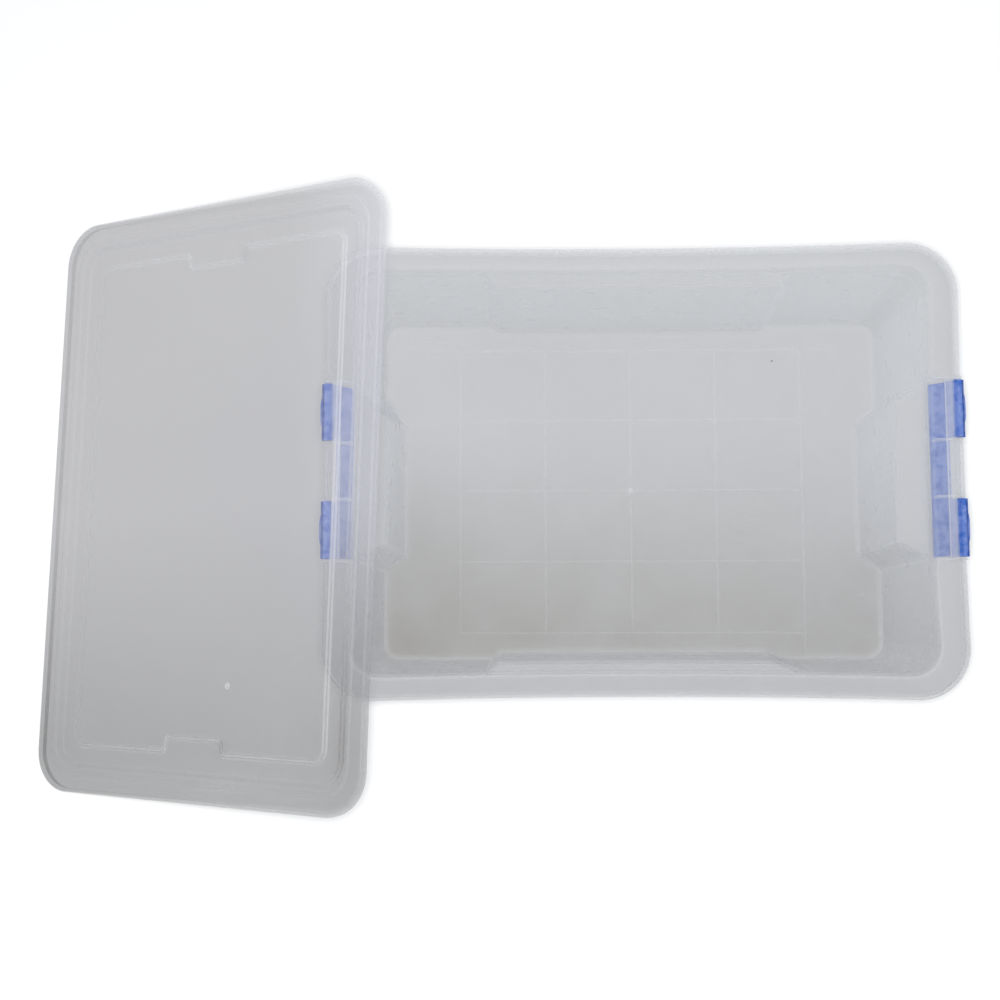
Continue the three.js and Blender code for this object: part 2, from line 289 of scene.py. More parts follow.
def skin(name, rings, bend_highlights=1.0, sharp_at=0.9):
    """A closed skin through rings of the same length, with a fan to a middle point at both ends.

    The argument after rings says how much each ring's bends are paled as a painted highlight, or is one
    number for all of them.
    """
    grid = np.array(rings)
    rows, count = grid.shape[:2]
    bends = np.clip(bend_of(grid) / sharp_at, 0, 1)
    paleness_and_highlight = (bends * np.broadcast_to(bend_highlights, rows)[:, None]).ravel()
    vertices = np.concatenate([grid.reshape(-1, 3), grid[:1].mean(1), grid[-1:].mean(1)])
    first, last = rows * count, rows * count + 1
    faces = []
    for k in range(rows - 1):
        for i in range(count):
            j = (i + 1) % count
            faces.append((k * count + i, k * count + j, (k + 1) * count + j, (k + 1) * count + i))
    for i in range(count):
        j = (i + 1) % count
        faces.append((first, j, i))
        faces.append((last, (rows - 1) * count + i, (rows - 1) * count + j))
    return make_object(name, vertices, faces, np.append(paleness_and_highlight, [0, 0]))


def from_bmesh(name, bm, paleness_and_highlight=0.0):
    mesh = bpy.data.meshes.new(name)
    bm.to_mesh(mesh)
    bm.free()
    layer = mesh.attributes.new("paleness_and_highlight", "FLOAT", "POINT")
    layer.data.foreach_set("value", np.full(len(mesh.vertices), paleness_and_highlight, np.float32))
    made = bpy.data.objects.new(name, mesh)
    bpy.context.scene.collection.objects.link(made)
    return made


def extruded(name, outline, y0, y1, paleness_and_highlight=0.0):
    """A flat outline in X and Z drawn out along Y, in millimetres."""
    bm = bmesh.new()
    near = [bm.verts.new(Vector((x, y0, z)) * MM) for x, z in outline]
    face = bm.faces.new(near)
    out = bmesh.ops.extrude_face_region(bm, geom=[face])
    moved = [v for v in out["geom"] if isinstance(v, bmesh.types.BMVert)]
    bmesh.ops.translate(bm, verts=moved, vec=(0, (y1 - y0) * MM, 0))
    bmesh.ops.recalc_face_normals(bm, faces=bm.faces)
    return from_bmesh(name, bm, paleness_and_highlight)


def block(x0, x1, z0, z1):
    """The outline of a box in X and Z."""
    return [(x0, z0), (x1, z0), (x1, z1), (x0, z1)]


def circle(radius, steps=48, middle=(0.0, 0.0), start=0.0, end=360.0):
    turn = np.radians(np.linspace(start, end, steps, endpoint=end - start < 360))
    return [(middle[0] + radius * math.cos(a), middle[1] + radius * math.sin(a)) for a in turn]


def apply_modifier(obj, kind, **settings):
    """Adds a modifier and bakes it into the mesh."""
    modifier = obj.modifiers.new(kind.lower(), kind)
    for key, value in settings.items():
        setattr(modifier, key, value)
    with bpy.context.temp_override(object=obj, active_object=obj, selected_objects=[obj]):
        bpy.ops.object.modifier_apply(modifier=modifier.name)


def combine(base, others, operation):
    for other in others:
        apply_modifier(base, "BOOLEAN", operation=operation, object=other, solver="EXACT")
        bpy.data.objects.remove(other)
    return base


def rounded_edges(obj, width, segments=3):
    apply_modifier(obj, "BEVEL", width=width * MM, segments=segments, limit_method="ANGLE",
                   angle_limit=math.radians(28), harden_normals=False)
    obj.data.shade_smooth()
    obj.data.set_sharp_from_angle(angle=SHARP_ANGLE)
    return obj


def joined(name, parts):
    """Several meshes as one object."""
    bm = bmesh.new()
    for part in parts:
        part.data.transform(part.matrix_world)
        bm.from_mesh(part.data)
        bpy.data.objects.remove(part)
    mesh = bpy.data.meshes.new(name)
    bm.to_mesh(mesh)
    bm.free()
    mesh.shade_smooth()
    mesh.set_sharp_from_angle(angle=SHARP_ANGLE)
    made = bpy.data.objects.new(name, mesh)
    bpy.context.scene.collection.objects.link(made)
    return made


def signed(side, a, b):
    return (a, b) if side > 0 else (-b, -a)


# ---------------------------------------------------------------- tub

SEAT_EDGES = (NOTCH_NEAR, NOTCH_FAR)
TUB_END_PLACES = np.unique(np.round(np.concatenate([
    np.arange(0, 62.1, 2.0),
    np.arange(43.5, 59.1, 0.5),
    *[edge + np.linspace(-0.6, 0.6, 9) for edge in SEAT_EDGES],
]), 3))
TUB_SIDE_PLACES = np.unique(np.round(np.concatenate([
    np.arange(0, 104.1, 4.0),
    np.arange(89, 101.1, 0.5),
]), 3))
TUB_ENDS = (END_RECESS, TUB_END_PLACES, 14)
TUB_SIDES = (LONG_RECESS, TUB_SIDE_PLACES, 16)


def recess_depth(recess, z):
    """How deep a recess is at height z: deeper upwards, then out again over a sloping ledge."""
    grown = lerp(recess["depth"], recess["depth_top"], min(z / recess["top"], 1.0))
    return grown * float(ease((recess["ledge"] - z) / (recess["ledge"] - recess["top"])))


def wall_outline(z, outward, inset, height):
    """The wall's outline at height z. outward is 0 for the inner skin and WALL for the outer one."""
    t = (z - FLOOR_THICK) / (height - FLOOR_THICK)
    grow = outward - inset
    bent = float(np.clip((z - SPRUNG_FROM) / (height - SPRUNG_FROM), 0, 1))
    raised = z + (SKIN_RISE if outward else 0)
    narrow = SKIN_NARROW if outward else 0
    ends = {**END_RECESS, "flat": END_RECESS["flat"] + narrow, "foot": END_RECESS["foot"] + narrow}
    sides = {**LONG_RECESS, "flat": LONG_RECESS["flat"] + narrow, "foot": LONG_RECESS["foot"] + narrow}
    outline = loop(
        (lerp(FLOOR_HALF[0], MOUTH_HALF[0], t) + grow, lerp(FLOOR_HALF[1], MOUTH_HALF[1], t) + grow),
        max(lerp(FLOOR_RADIUS, MOUTH_RADIUS, t) + grow, WALL),
        (ends, *TUB_ENDS[1:]),
        (sides, *TUB_SIDES[1:]),
        recess_depth(END_RECESS, raised),
        recess_depth(LONG_RECESS, raised),
        (BOW_END * bent, BOW_LONG * bent),
    )
    return at_height(outline, z)


def rim_outline(z, inset, rim_half, height):
    """The rim's outline, with the notches and the tab of a latch seat at each end."""
    outline = loop((rim_half[0] - inset, rim_half[1] - inset), RIM_RADIUS - inset, TUB_ENDS, TUB_SIDES,
                   bow=(RIM_BOW_END, BOW_LONG))
    ring = at_height(outline, z)
    under = height - WALL
    away = np.abs(ring[:, 1])
    inside = ease((NOTCH_FAR + SEAT_EASE - away) / (2 * SEAT_EASE))
    tab = ease((NOTCH_NEAR + SEAT_EASE - away) / (2 * SEAT_EASE)) * inside
    notch = inside - tab
    drop = max(under - z, 0.0)
    seats = (
        (notch, NOTCH_IN - NOTCH_SLANT * inset, z + drop * 0.98),
        (tab, TAB_OUT - inset, z + drop * (TAB_LIP_BOTTOM - LIP_BOTTOM) / (under - LIP_BOTTOM)),
    )
    side = np.sign(ring[:, 0])
    for weight, x, raised in seats:
        ring[:, 0] += weight * (side * x - side * np.abs(rim_half[0] - inset - RIM_BOW_END))
        ring[:, 2] += weight * (raised - z)
    return ring


def tub_rings(rim_half, height):
    """The tub's rings, from the middle of the base up the outside, over the rim and down to the floor."""
    under = height - WALL

    def wall(outward, points):
        return [wall_outline(z, outward, inset, height) for inset, z in points]

    def rim(points):
        return [rim_outline(z, inset, rim_half, height) for inset, z in points]

    def between(a, b, count):
        return [lerp(a, b, t) for t in np.linspace(0, 1, count + 2)[1:-1]]

    rise = np.unique(np.concatenate([np.arange(FILLET + 5, 95, 7), np.arange(95, 116.4, 0.8)]))
    climb = [(0, z) for z in rise]
    base = wall(WALL, quarter_turn((FILLET, 0), (0, FILLET), False))
    outside = wall(WALL, climb + quarter_turn((0, under - UNDER_ROUND), (-UNDER_ROUND, under), True))
    lip = rim(
        quarter_turn((LIP_THICK + UNDER_ROUND, under), (LIP_THICK, under - UNDER_ROUND), False)
        + quarter_turn((LIP_THICK, LIP_BOTTOM + 0.8), (LIP_THICK / 2, LIP_BOTTOM), True)
        + quarter_turn((LIP_THICK / 2, LIP_BOTTOM), (0, LIP_BOTTOM + 0.8), False)[1:]
        + [(0, LIP_BOTTOM + 4)]
        + quarter_turn((0, height - RIM_ROUND), (RIM_ROUND, height), True)
    )
    mouth = wall(0, quarter_turn((-FILLET, height), (0, height - FILLET), False))
    inside = wall(0, climb[::-1] + quarter_turn((0, FLOOR_THICK + FILLET), (FILLET, FLOOR_THICK), True))
    walls_first = [*closed_in(base[0], 16)[::-1], *base, *outside]
    over_rim = [*between(outside[-1], lip[0], 3), *lip, *between(lip[-1], mouth[0], 5), *mouth]
    walls_last = [*inside, *closed_in(inside[-1], 24)]
    bend_highlights = [1.0] * len(walls_first) + [RIM_BEND_HIGHLIGHT] * len(over_rim) + [1.0] * len(walls_last)
    return walls_first + over_rim + walls_last, bend_highlights


def make_rib(along_x, place, start, end):
    """One low rounded rib on the floor with tapered ends."""
    across = np.linspace(0, math.pi, 7)
    length = np.array([start, start + 1, start + 3, end - 3, end - 1, end])
    height = RIB_HEIGHT * np.array([0.1, 0.6, 1, 1, 0.6, 0.1])
    vertices = []
    for s, h in zip(length, height):
        for a in across:
            side = place + RIB_WIDTH / 2 * math.cos(a)
            z = FLOOR_THICK + RIB_CLEAR + h * math.sin(a)
            vertices.append((s, side, z) if along_x else (side, s, z))
    n = len(across)
    faces = []
    for k in range(len(length) - 1):
        for i in range(n - 1):
            a, b = k * n + i, k * n + i + 1
            face = (a, b, b + n, a + n)
            faces.append(face[::-1] if along_x else face)
    return make_object("rib", vertices, faces, np.full(len(vertices), 0.5))


def make_floor_grid():
    half_long = max(RIB_XS)
    half_wide = max(RIB_YS)
    front = FILLET - FLOOR_HALF[1]
    ribs = [make_rib(False, x, -half_wide, half_wide) for x in RIB_XS[:-1]]
    ribs += [make_rib(False, RIB_XS[-1], front, half_wide)]
    ribs += [make_rib(True, y, -half_long, half_long) for y in RIB_YS]
    square = block(-GATE_HALF, GATE_HALF, FLOOR_THICK + RIB_CLEAR, FLOOR_THICK + RIB_HEIGHT)
    gate = extruded("gate", square, -GATE_HALF, GATE_HALF, paleness_and_highlight=1.0)
    return joined("tub_floor_grid", [*ribs, gate])


def make_seat_details(name, pivot, height):
    """The gussets, lugs and hinge pins that hold one latch, and beside it a pale strip standing in for light
    scattered under the flange, with a painted highlight line along it, drawn at the +X end.
    """
    under = height - WALL
    gusset = [(GUSSET_IN, under + GUSSET_BITE), (GUSSET_OUT, under + GUSSET_BITE),
              (GUSSET_FOOT, GUSSET_BOTTOM), (GUSSET_IN, GUSSET_BOTTOM)]
    lug = block(LUG_IN, LUG_OUT, LUG_BOTTOM, height - LUG_DROP)
    pin = circle(PIN_RADIUS, 32, (pivot.x / MM, pivot.z / MM))
    scatter_strip = block(SCATTER_STRIP_IN, SCATTER_STRIP_OUT, under - SCATTER_STRIP_THICK, under - SCATTER_STRIP_CLEAR)
    line = block(SCATTER_STRIP_IN - HIGHLIGHT_LINE_WIDTH, SCATTER_STRIP_IN, under - HIGHLIGHT_LINE_THICK, under - SCATTER_STRIP_CLEAR)
    parts = []

    def bar(outline, y0, y1, paleness_and_highlight, edge):
        parts.append(rounded_edges(extruded("bar", outline, y0, y1, paleness_and_highlight), edge))

    for end in (1, -1):
        for y in (NOTCH_NEAR - SEAT_GAP - GUSSET_THICK, NOTCH_FAR + SEAT_GAP):
            bar(gusset, *signed(end, y, y + GUSSET_THICK), 0.75, 0.35)
        bar(lug, *signed(end, NOTCH_FAR + 0.1, NOTCH_FAR + 2), 0.4, 0.35)
        bar(pin, *signed(end, NOTCH_NEAR - 0.8, NOTCH_FAR + 0.9), 0.25, 0.2)
    # A pale strip standing in for light scattered under the flange, and a painted highlight line along its
    # inner edge
    bar(scatter_strip, -NOTCH_FAR, NOTCH_FAR, 0.0, 0.25)
    bar(line, -NOTCH_FAR, NOTCH_FAR, 1.0, 0.25)
    return joined(name, parts)


# ---------------------------------------------------------------- lid

LID_ENDS = (NO_RECESS, np.array([0.0]), 40)
LID_SIDE_PLACES = np.unique(np.round(np.concatenate([np.arange(0, 30.1, 2.0), np.arange(22, 27.1, 0.25)]), 3))
LID_SIDES = (JOG, LID_SIDE_PLACES, 24)


def rounded_path(corners):
    """A path in (s, w, jog) whose corners are rounded: each corner is (s, w, jog, radius)."""
    points = np.array([c[:3] for c in corners], float)
    path = [points[0]]
    for before, here, after, corner in zip(points, points[1:], points[2:], corners[1:]):
        arm_in, arm_out = before[:2] - here[:2], after[:2] - here[:2]
        reach = min(corner[3], 0.45 * np.linalg.norm(arm_in), 0.45 * np.linalg.norm(arm_out))
        start = here + (before - here) * reach / np.linalg.norm(arm_in)
        end = here + (after - here) * reach / np.linalg.norm(arm_out)
        for t in np.linspace(0, 1, FILLET_STEPS):
            path.append((1 - t) ** 2 * start + 2 * t * (1 - t) * here + t**2 * end)
    path.append(points[-1])
    return path


def lid_rings():
    """The lid's rings, from the middle of its underside out to the skirt and back over the top."""
    profile = rounded_path([
        (40, PANEL_UNDER, 1, 0),
        (34, PANEL_UNDER, 1, 1.2),
        (32.6, VALLEY_UNDER, 1, 0.9),
        (18.2, VALLEY_UNDER, 0, 1.0),
        (16.4, RIDGE_UNDER, 0, 0.9),
        (11.6, RIDGE_UNDER, 0, 0.6),
        (11.0, EDGE_UNDER, 0, 0.6),
        (2.4, EDGE_UNDER, 0, 0.9),
        (2.2, 0.0, 0, 0.5),
        (0.3, 0.0, 0, 0.5),
        (0, EDGE_TOP, 0, 1.8),
        (9.8, EDGE_TOP, 0, 0.6),
        (10.6, RIDGE_TOP, 0, 0.6),
        (17.7, RIDGE_TOP, 0, 1.2),
        (19.6, VALLEY_TOP, 0, 1.2),
        (30.8, VALLEY_TOP, 1, 1.0),
        (32.4, PANEL_TOP, 1, 1.0),
        (40, PANEL_TOP, 1, 0),
    ])

    def ring(s, w, jog):
        outline = loop((LID_HALF[0] - s, LID_HALF[1] - s), max(LID_RADIUS - 0.6 * s, LID_LEAST_RADIUS),
                       LID_ENDS, LID_SIDES, side_depth=jog * JOG_DEPTH)
        return at_height(outline, w)

    rings = [ring(*point) for point in profile]
    bend_highlights = [1.0 if point[0] > PANEL_FROM else STEP_BEND_HIGHLIGHT for point in profile]
    first, last = closed_in(rings[0], 14)[::-1], closed_in(rings[-1], 14)
    return [*first, *rings, *last], [1.0] * len(first) + bend_highlights + [1.0] * len(last)


def lid_turn():
    """The turn from the lid's own frame to where the CAD lid leans."""
    return Matrix.Rotation(math.radians(LID_TURN), 4, "Z") @ Matrix.Rotation(-math.radians(LID_LEAN), 4, "Y")


def lid_place(lid):
    """The turn, and the move that takes the turned lid onto the middle of the CAD lid's box."""
    turn = lid_turn()
    co = np.array([turn @ v.co for v in lid.data.vertices])
    lo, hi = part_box("lid")
    return Matrix.Translation((lo + hi) / 2 - Vector((co.min(0) + co.max(0)) / 2)) @ turn


def moved(obj, place):
    obj.data.transform(place)
    return obj


def make_gate_mark():
    """The small round scar where the plastic entered the lid's mould."""
    turn = np.linspace(0, 2 * math.pi, GATE_MARK_STEPS + 1)[:-1]
    rings = []
    for radius, w in ((2.3, 0.02), (1.9, 0.35), (1.5, 0.45), (0.9, 0.35), (0.7, 0.05)):
        ring = np.column_stack([radius * np.cos(turn), radius * np.sin(turn)]) + GATE_MARK_AT
        rings.append(at_height(ring, PANEL_TOP + w))
    return skin("lid_gate_mark", rings)


# ---------------------------------------------------------------- latches


def make_latch(name):
    """One latch: a plate with an inward nib and two knuckles bored for the hinge pins."""
    near, far = NOTCH_NEAR + KNUCKLE_GAP, NOTCH_FAR - KNUCKLE_GAP
    nib_in = PLATE_IN - NIB_REACH
    nib = [(PLATE_IN + 0.5, NIB_BOTTOM), (nib_in, NIB_BOTTOM),
           (nib_in, NIB_BOTTOM + NIB_THICK), (PLATE_IN + 0.5, NIB_BOTTOM + NIB_ROOT)]
    arm = [(0, 0), (PLATE_OUT, 0), (PLATE_OUT, PLATE_START + 1), (PLATE_IN, PLATE_START + 1),
           (PLATE_IN, ARM_SHOULDER), (0, ARM_ROOT)]
    slot = block(-SLOT_HALF, SLOT_HALF, 0, -SLOT_DEPTH)
    bead = circle(BEAD_RADIUS, 16, (PLATE_OUT - 0.15, PLATE_START + 0.7))
    body = extruded(name, block(PLATE_IN, PLATE_OUT, PLATE_START, PLATE_END), -PLATE_HALF, PLATE_HALF)
    added = [extruded("nib", nib, NIB_INSET - PLATE_HALF, PLATE_HALF - NIB_INSET),
             extruded("bead", bead, -PLATE_HALF + 0.5, PLATE_HALF - 0.5)]
    cut = []
    for side in (1, -1):
        reach = signed(side, near, far)
        beyond = signed(side, near - 1, far + 1)
        added.append(extruded("knuckle", circle(KNUCKLE_RADIUS), *reach))
        added.append(extruded("arm", arm, *reach))
        added.append(make_bulge((reach[0] + reach[1]) / 2))
        cut.append(extruded("bore", circle(BORE_RADIUS), *beyond))
        cut.append(extruded("slot", slot, *beyond))
    combine(body, added, "UNION")
    combine(body, cut, "DIFFERENCE")
    return rounded_edges(body, 0.3)


def make_bulge(middle):
    """The thumb swelling on one knuckle: part of a ring that swells and dies away along Y."""
    turn = np.radians(np.linspace(88, 222, 22))
    vertices, faces = [], []
    places = np.linspace(-1, 1, 17)
    for t in places:
        radius = KNUCKLE_RADIUS - 0.15 + (BULGE + 0.15) * (1 - t**4)
        y = middle + t * (BULGE_HALF + 1.5)
        for a in turn:
            vertices.append((radius * math.cos(a), y, radius * math.sin(a)))
        vertices.append((0, y, 0))
    n = len(turn) + 1
    for k in range(len(places) - 1):
        for i in range(n):
            j = (i + 1) % n
            faces.append((k * n + i, (k + 1) * n + i, (k + 1) * n + j, k * n + j))
    faces.append(tuple(range(n)))
    faces.append(tuple(reversed(range((len(places) - 1) * n, len(places) * n))))
    return make_object("bulge", vertices, faces)


def end_turn(side):
    """The half turn that takes what is drawn at the +X end to the other one."""
    return Matrix.Rotation(0 if side > 0 else math.pi, 4, "Z")


def latch_place(pivot, side):
    swing = Matrix.Rotation(math.radians(LATCH_SWING), 4, "Y")
    return end_turn(side) @ Matrix.Translation((abs(pivot.x), 0, pivot.z)) @ swing


# ---------------------------------------------------------------- materials


class Nodes:
    """Short calls for building a node tree."""

    def __init__(self, name):
        self.material = bpy.data.materials.new(name)
        self.material.use_nodes = True
        self.tree = self.material.node_tree
        self.tree.nodes.clear()
        self.output = self.add("ShaderNodeOutputMaterial")
        self.place = self.add("ShaderNodeTexCoord").outputs["Object"]

    def add(self, kind, inputs=None, **settings):
        made = self.tree.nodes.new(kind)
        for key, value in settings.items():
            setattr(made, key, value)
        for key, value in (inputs or {}).items():
            if isinstance(value, bpy.types.NodeSocket):
                self.tree.links.new(value, made.inputs[key])
            else:
                made.inputs[key].default_value = value
        return made

    def math(self, operation, a, b=0.0, clamp=False):
        return self.add("ShaderNodeMath", {0: a, 1: b}, operation=operation, use_clamp=clamp).outputs[0]

    def between(self, value, low, high, to_low=0.0, to_high=1.0):
        """value mapped from low..high to to_low..to_high, held at the ends."""
        inputs = {"Value": value, "From Min": low, "From Max": high, "To Min": to_low, "To Max": to_high}
        return self.add("ShaderNodeMapRange", inputs).outputs["Result"]

    def noise(self, scale, detail=2.0, stretch=(1, 1, 1), turn=0.0, shift=(0, 0, 0)):
        """Noise in 0..1 with about scale features to the metre."""
        inputs = {"Vector": self.place, "Scale": stretch, "Rotation": (0, 0, math.radians(turn)),
                  "Location": shift}
        place = self.add("ShaderNodeMapping", inputs).outputs[0]
        inputs = {"Vector": place, "Scale": scale, "Detail": detail, "Roughness": 0.55}
        return self.add("ShaderNodeTexNoise", inputs).outputs["Fac"]

    def scratches(self, turn, scale=60.0, along=14.0, width=0.012, shift=(0, 0, 0)):
        """Thin lines that run in one direction, 0..1."""
        lines = self.noise(scale, 0.0, (1 / along, 1, 1), turn, shift)
        off = self.math("ABSOLUTE", self.math("SUBTRACT", lines, 0.5))
        return self.between(off, 0.0, width, 1.0, 0.0)

    def colour(self, fac, a, b):
        """a where fac is 0 and b where it is 1. fac is a socket; a and b are sockets or colours."""
        made = self.add("ShaderNodeMix", data_type="RGBA")
        self.tree.links.new(fac, made.inputs[0])
        for socket, value in ((made.inputs[6], a), (made.inputs[7], b)):
            if isinstance(value, bpy.types.NodeSocket):
                self.tree.links.new(value, socket)
            else:
                socket.default_value = (*value, 1)
        return made.outputs[2]

    def finish(self, shader):
        self.tree.links.new(shader, self.output.inputs["Surface"])
        return self.material


def stained(n, tone, cover, strength):
    """Brownish stains towards the front left of the floor, and one dark speck."""
    place = n.add("ShaderNodeSeparateXYZ", {0: n.place}).outputs
    speck = n.add("ShaderNodeVectorMath", {0: n.place, 1: SPECK_AT}, operation="DISTANCE").outputs["Value"]
    speck = n.between(speck, 0.0005, 0.001, 1.0, 0.0)
    on_floor = n.between(place[2], 0.0032, 0.0042, 1.0, 0.0)
    front = n.between(place[1], 0.05, -0.09)
    left = n.between(place[0], 0.17, -0.17, 0.55, 1.0)
    patch = n.between(n.noise(16, 2.0), 0.3, 0.7, 0.6, 1.0)
    amount = n.math("MULTIPLY", n.math("MULTIPLY", on_floor, front), n.math("MULTIPLY", left, patch))
    amount = n.math("MULTIPLY", amount, strength)
    tone = n.colour(speck, n.colour(amount, tone, STAIN_TONE), SPECK_TONE)
    cover = n.math("ADD", cover, n.math("MULTIPLY", amount, STAIN_COVER), True)
    return tone, n.math("MAXIMUM", cover, n.math("MULTIPLY", speck, SPECK_COVER))


def clear_plastic(name, haze, wall_haze, milk, deep, edge_cover, side_cover, shade=SHADE, painted_light_fades=(),
                  stains=0.0, turn=0.0, side_below=None):
    """Milky clear polypropylene.

    haze is how much one level surface hides, wall_haze one that stands up, milk its colour where level,
    deep its colour where it stands up, lighter than milk: painted light that makes up for the lamp light
    that standing surfaces lack. shade is how much of a lamp's light one surface lets on. Bends carry a
    painted highlight: they are paler and hide edge_cover more than flat places do. A surface seen along
    itself hides side_cover more, at full below the height side_below. Each of fades is (axis, start, end,
    extra cover, tone) of a slow change to one side, painted light where it is lighter and painted shade
    where it is darker.
    """
    n = Nodes(name)
    paleness_and_highlight = n.add("ShaderNodeAttribute", attribute_name="paleness_and_highlight").outputs["Fac"]
    facing = n.add("ShaderNodeLayerWeight", {"Blend": 0.35}).outputs["Facing"]
    place = n.add("ShaderNodeSeparateXYZ", {0: n.place}).outputs
    normal = n.add("ShaderNodeNewGeometry").outputs["Normal"]
    level = n.math("ABSOLUTE", n.add("ShaderNodeSeparateXYZ", {0: normal}).outputs[2])
    cloud = n.noise(9, 2.0, (0.45, 1, 1))
    mottle = n.noise(70, 1.0, (1, 0.25, 1), turn)
    gaps = n.between(n.noise(16, 1.0), 0.60, 0.68)
    lengthways = n.scratches(turn + 8, 260, 50)
    scuff = n.math("MAXIMUM", lengthways, n.scratches(turn + 83, 300, 60, shift=(3, 1, 0)))
    marks = n.math("MULTIPLY", n.math("MULTIPLY", scuff, gaps), n.between(level, 0.3, 0.8, 0.15, 1.0))
    # Paleness from the attribute, broken up by mottle: along bends it is a painted highlight
    edge = n.math("MULTIPLY", paleness_and_highlight, n.between(mottle, 0.3, 0.7, 0.9, 1.0))

    cloudy = n.between(cloud, 0.3, 0.7, 0.93, 1.07)
    cover = n.math("MULTIPLY", n.between(level, 0.1, 0.8, wall_haze, haze), cloudy)
    side = n.between(facing, 0.3, 1.0, 0.0, side_cover)
    if side_below:
        side = n.math("MULTIPLY", side, n.between(place[2], side_below - 0.004, side_below, 1.0, 0.25))
    cover = n.math("ADD", cover, side)
    cover = n.math("ADD", cover, n.math("MULTIPLY", edge, edge_cover))
    cover = n.math("ADD", cover, n.math("MULTIPLY", marks, MARK_COVER), True)

    milks = [c * 0.97 for c in milk], [min(c * 1.03, 1) for c in milk]
    tone = n.colour(n.between(cloud, 0.35, 0.65), *milks)
    # Lighter where a surface stands up: painted light that makes up for the lamp light standing surfaces lack
    tone = n.colour(n.between(level, 0.8, 0.2), tone, deep)
    for axis, start, end, extra, faded in painted_light_fades:
        amount = n.between(place[axis], start, end)
        tone = n.colour(amount, tone, faded)
        cover = n.math("ADD", cover, n.math("MULTIPLY", amount, extra), True)
    if stains:
        tone, cover = stained(n, tone, cover, stains)
    # Paler along the painted highlights and on scratch marks
    pale = n.math("ADD", edge, n.math("MULTIPLY", marks, 0.6), True)
    tone = n.colour(pale, tone, PALE_HIGHLIGHT_AND_SCRATCH_TONE)

    rough = n.between(n.noise(55, 2.0), 0.3, 0.7, 0.24, 0.38)
    rough = n.math("ADD", rough, n.math("MULTIPLY", marks, 0.2))
    grain = n.math("MULTIPLY", n.noise(240, 0.0), 0.25)
    ripple = n.math("ADD", grain, n.math("MULTIPLY", n.noise(22, 1.0), 3.0))
    bump = n.add("ShaderNodeBump", {"Strength": 0.06, "Distance": 0.0004, "Height": ripple}).outputs[0]
    body = n.add("ShaderNodeBsdfPrincipled", {
        "Base Color": tone, "Roughness": rough, "Normal": bump, "IOR": 1.49}).outputs[0]
    through = n.add("ShaderNodeBsdfTranslucent", {"Color": tone}).outputs[0]
    solid = n.add("ShaderNodeMixShader", {0: 0.25, 1: body, 2: through}).outputs[0]
    clear = n.add("ShaderNodeBsdfTransparent").outputs[0]
    seen = n.add("ShaderNodeMixShader", {0: cover, 1: clear, 2: solid}).outputs[0]
    passed = (shade, shade, shade * 1.01, 1)
    lets_light_on = n.add("ShaderNodeBsdfTransparent", {"Color": passed}).outputs[0]
    shadow = n.add("ShaderNodeLightPath").outputs["Is Shadow Ray"]
    return n.finish(n.add("ShaderNodeMixShader", {0: shadow, 1: seen, 2: lets_light_on}).outputs[0])


def blue_plastic(name):
    """Satin blue polypropylene with pale convex edges, partly rubbed wear and partly a painted highlight,
    scuffs and a faint grain.
    """
    n = Nodes(name)
    point = n.add("ShaderNodeNewGeometry").outputs["Pointiness"]
    # Pale convex edges: partly rubbed wear, partly a painted highlight along them
    wear_and_highlight = n.between(point, 0.505, 0.56)
    wear_and_highlight = n.math("MULTIPLY", wear_and_highlight, n.between(n.noise(160, 3.0), 0.35, 0.6))
    cloud = n.noise(40, 4.0)
    scuff = n.math("MAXIMUM", n.scratches(80, 220, 9, 0.03), n.scratches(10, 260, 7, 0.02, (4, 4, 0)))
    tone = n.colour(n.between(cloud, 0.3, 0.7), BLUE_DARK, BLUE_LIGHT)
    tone = n.colour(n.math("MULTIPLY", wear_and_highlight, 0.55), tone, BLUE_WEAR_AND_HIGHLIGHT)
    tone = n.colour(n.math("MULTIPLY", scuff, 0.15), tone, BLUE_SCUFFED)
    rough = n.between(n.noise(90, 4.0), 0.3, 0.7, 0.30, 0.46)
    rough = n.math("ADD", rough, n.math("MULTIPLY", scuff, 0.2))
    grain = n.noise(900, 2.0)
    bump = n.add("ShaderNodeBump", {"Strength": 0.15, "Distance": 0.0002, "Height": grain}).outputs[0]
    return n.finish(n.add("ShaderNodeBsdfPrincipled", {
        "Base Color": tone, "Roughness": rough, "Normal": bump, "IOR": 1.49,
        "Specular IOR Level": 0.35}).outputs[0])


def ground_material():
    n = Nodes("pale_floor")
    tone = n.colour(n.between(n.noise(3, 2.0), 0.3, 0.7), (0.92, 0.92, 0.92), (0.94, 0.94, 0.94))
    return n.finish(n.add("ShaderNodeBsdfPrincipled", {
        "Base Color": tone, "Roughness": 0.9, "Specular IOR Level": 0.1}).outputs[0])


# ---------------------------------------------------------------- scene


def make_ground():
    bpy.ops.mesh.primitive_plane_add(size=FLOOR_SIZE, location=(0, 0, -FLOOR_DROP))
    ground = bpy.context.object
    ground.name = "ground"
    ground.data.materials.append(ground_material())
    return ground


def make_camera():
    data = bpy.data.cameras.new("camera")
    data.lens = CAMERA_LENS
    data.sensor_width = CAMERA_SENSOR
    camera = bpy.data.objects.new("camera", data)
    camera.location = CAMERA_AT
    camera.rotation_euler = CAMERA_TURN
    bpy.context.scene.collection.objects.link(camera)
    bpy.context.scene.camera = camera


def gathered(name, objects):
    """A collection that only says which pieces a lamp is about."""
    made = bpy.data.collections.new(name)
    for obj in objects:
        made.objects.link(obj)
    return made


